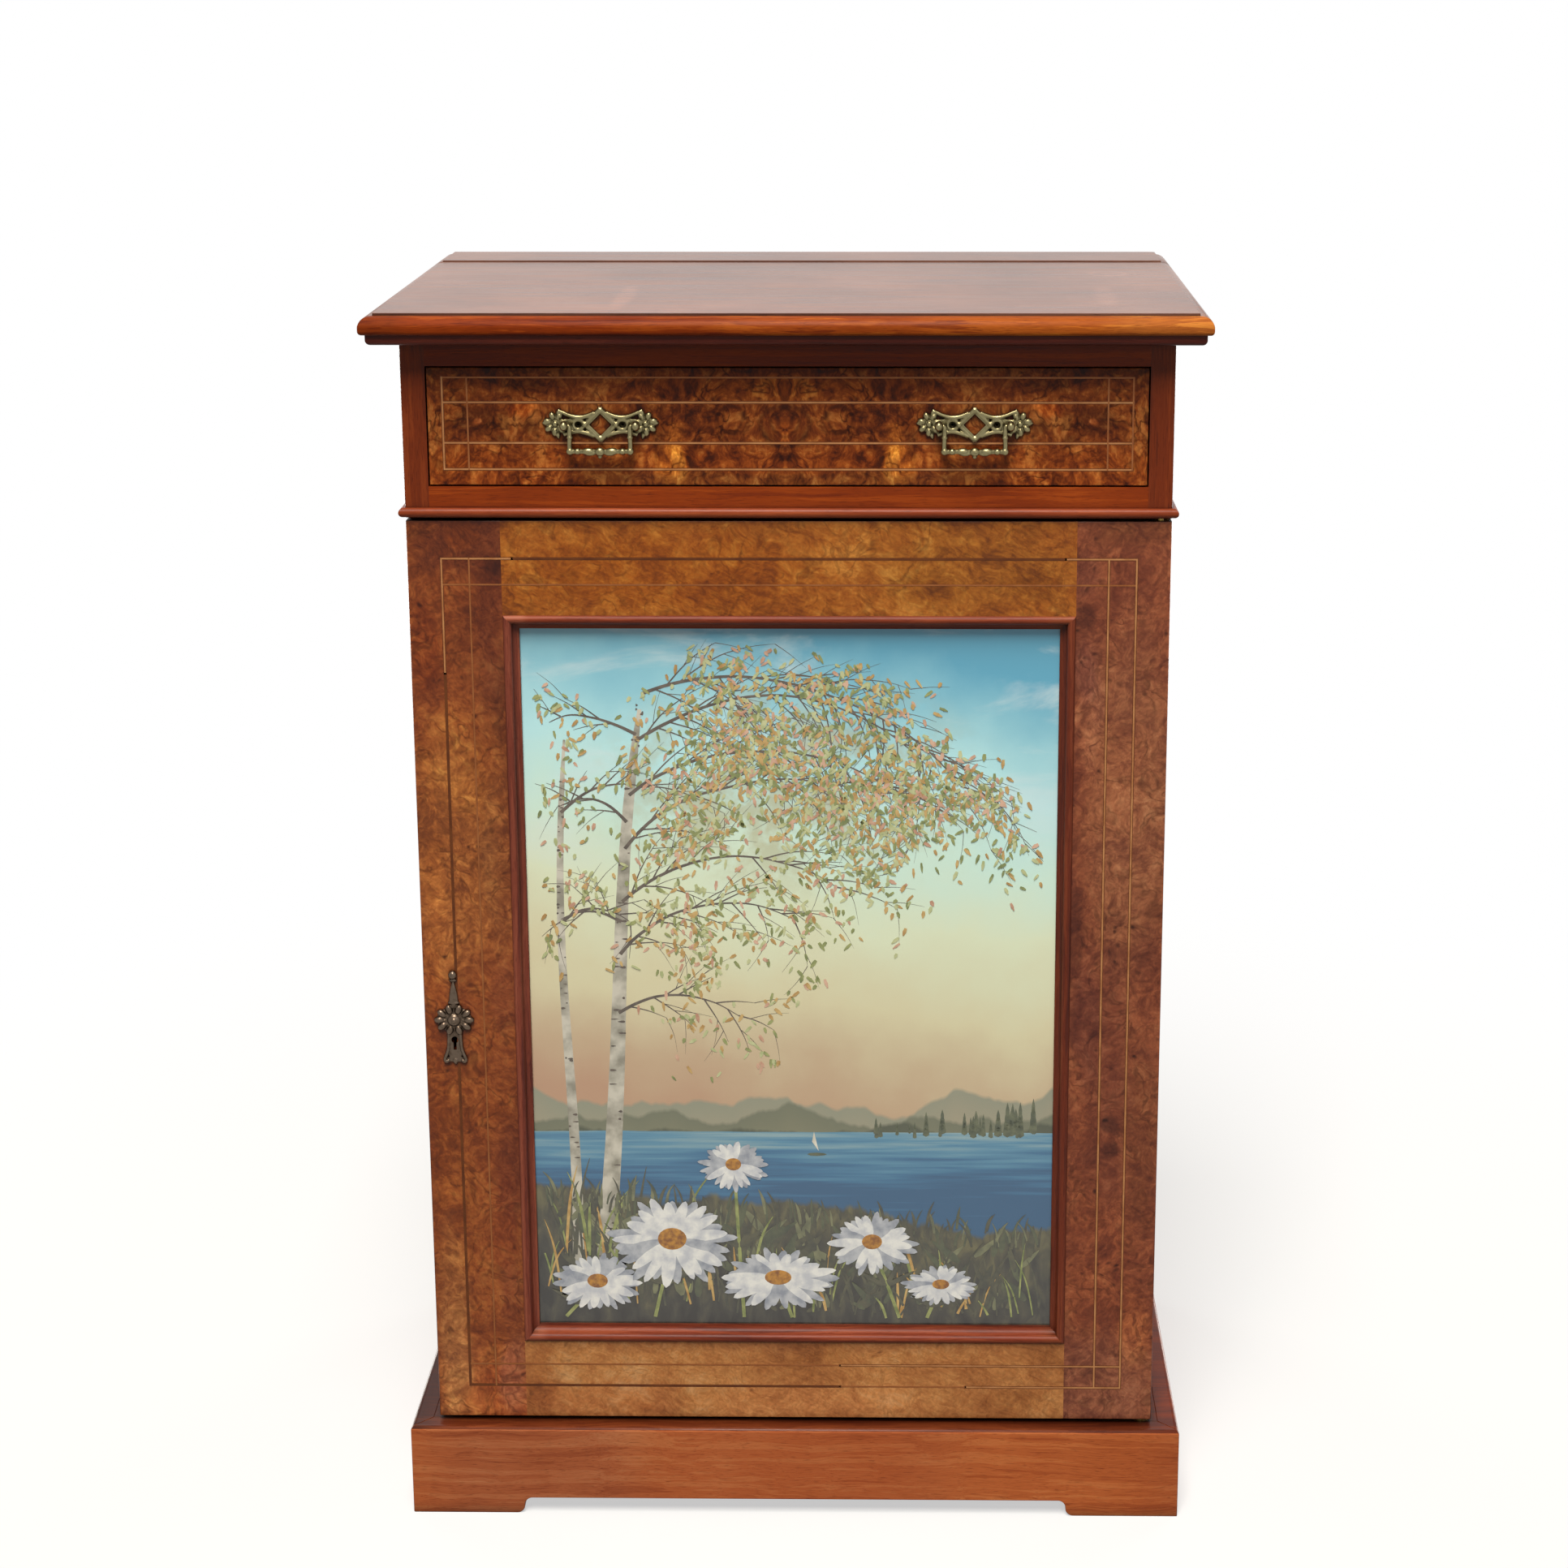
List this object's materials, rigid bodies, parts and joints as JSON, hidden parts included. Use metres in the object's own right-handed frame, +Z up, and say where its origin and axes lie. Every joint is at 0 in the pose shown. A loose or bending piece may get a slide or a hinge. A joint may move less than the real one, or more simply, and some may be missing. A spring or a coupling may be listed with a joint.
{
  "type": "pier cabinet",
  "caption": "Tall narrow walnut cabinet with a frieze drawer on swing-bail pulls above a full-width hinged door holding a painted glass panel, on a low plinth.",
  "frame": {"origin": "on the floor, under the middle of the top", "axes": "+X to the right seen from the front, the front faces -Y, +Z up"},
  "size_m": [0.68, 0.46, 1.064],
  "materials": {
    "top_walnut": "french-polished walnut, sun-faded, satin",
    "mahogany": "polished mahogany",
    "plinth_walnut": "polished walnut, grain along the board",
    "side_walnut": "polished straight-grained walnut veneer",
    "burr_walnut": "polished burr walnut veneer with stringing",
    "figured_walnut": "polished figured walnut veneer with stringing",
    "pine": "plain unpolished pine, aged",
    "drawer_lining": "plain unpolished mahogany and pine lining, aged",
    "brass": "cast brass with an aged patina",
    "lock_steel": "plain iron, dulled",
    "painted_glass": "glass painted on its back with a landscape"
  },
  "bodies": {
    "cabinet": {"top_board": "top_walnut", "top_rear_strip": "top_walnut", "cornice_front": "mahogany", "cornice_left": "mahogany", "cornice_right": "mahogany", "waist_bead_front": "mahogany", "waist_bead_left": "mahogany", "waist_bead_right": "mahogany", "frieze_post_left": "mahogany", "frieze_post_right": "mahogany", "frieze_top_rail": "mahogany", "drawer_rail": "mahogany", "plinth_front": "plinth_walnut", "plinth_left": "plinth_walnut", "plinth_right": "plinth_walnut", "side_left": "side_walnut", "side_right": "side_walnut", "rear_top_rail": "pine", "dust_board": "pine", "drawer_runner_left": "pine", "drawer_runner_right": "pine", "drawer_kickers": "pine", "drawer_stops": "pine", "bottom_board": "pine", "shelf": "pine", "shelf_battens": "pine", "back_board_left": "pine", "back_board_right": "pine", "plinth_back": "pine", "plinth_blocks": "pine", "pivot_plate_lower": "brass", "pivot_plate_upper": "brass", "pivot_screws": "lock_steel"},
    "drawer": {"drawer_front": "burr_walnut", "drawer_side_left": "drawer_lining", "drawer_side_right": "drawer_lining", "drawer_back": "drawer_lining", "drawer_bottom": "drawer_lining", "pull_plate_left": "brass", "pull_plate_right": "brass", "pull_posts": "brass", "pull_nuts": "brass"},
    "bail_left": {"bail_left": "brass"},
    "bail_right": {"bail_right": "brass"},
    "door": {"door_stile_left": "burr_walnut", "door_stile_right": "burr_walnut", "door_top_rail": "figured_walnut", "door_bottom_rail": "figured_walnut", "glazing_bead_top": "mahogany", "glazing_bead_bottom": "mahogany", "glazing_bead_left": "mahogany", "glazing_bead_right": "mahogany", "painted_glass": "painted_glass", "door_back_panel": "pine", "panel_fillets": "pine", "hinge_plates": "brass", "lock_case": "lock_steel", "door_screws": "lock_steel", "escutcheon": "brass"},
    "lock_bolt": {"lock_bolt": "lock_steel"}
  },
  "joints": [
    {"name": "drawer_slide", "type": "slide", "parent": "cabinet", "child": "drawer", "axis": [0, -1, 0], "range_m": [0, 0.25]},
    {"name": "bail_left_swing", "type": "hinge", "parent": "drawer", "child": "bail_left", "pos_m": [-0.1515, -0.205, 0.97075], "axis": [-1, 0, 0], "range_deg": [0, 90]},
    {"name": "bail_right_swing", "type": "hinge", "parent": "drawer", "child": "bail_right", "pos_m": [0.1515, -0.205, 0.97075], "axis": [-1, 0, 0], "range_deg": [0, 90]},
    {"name": "door_swing", "type": "hinge", "parent": "cabinet", "child": "door", "pos_m": [0.304, -0.187, 0], "axis": [0, 0, 1], "range_deg": [0, 105]},
    {"name": "lock_bolt_slide", "type": "slide", "parent": "door", "child": "lock_bolt", "axis": [-1, 0, 0], "range_m": [0, 0.009]}
  ]
}
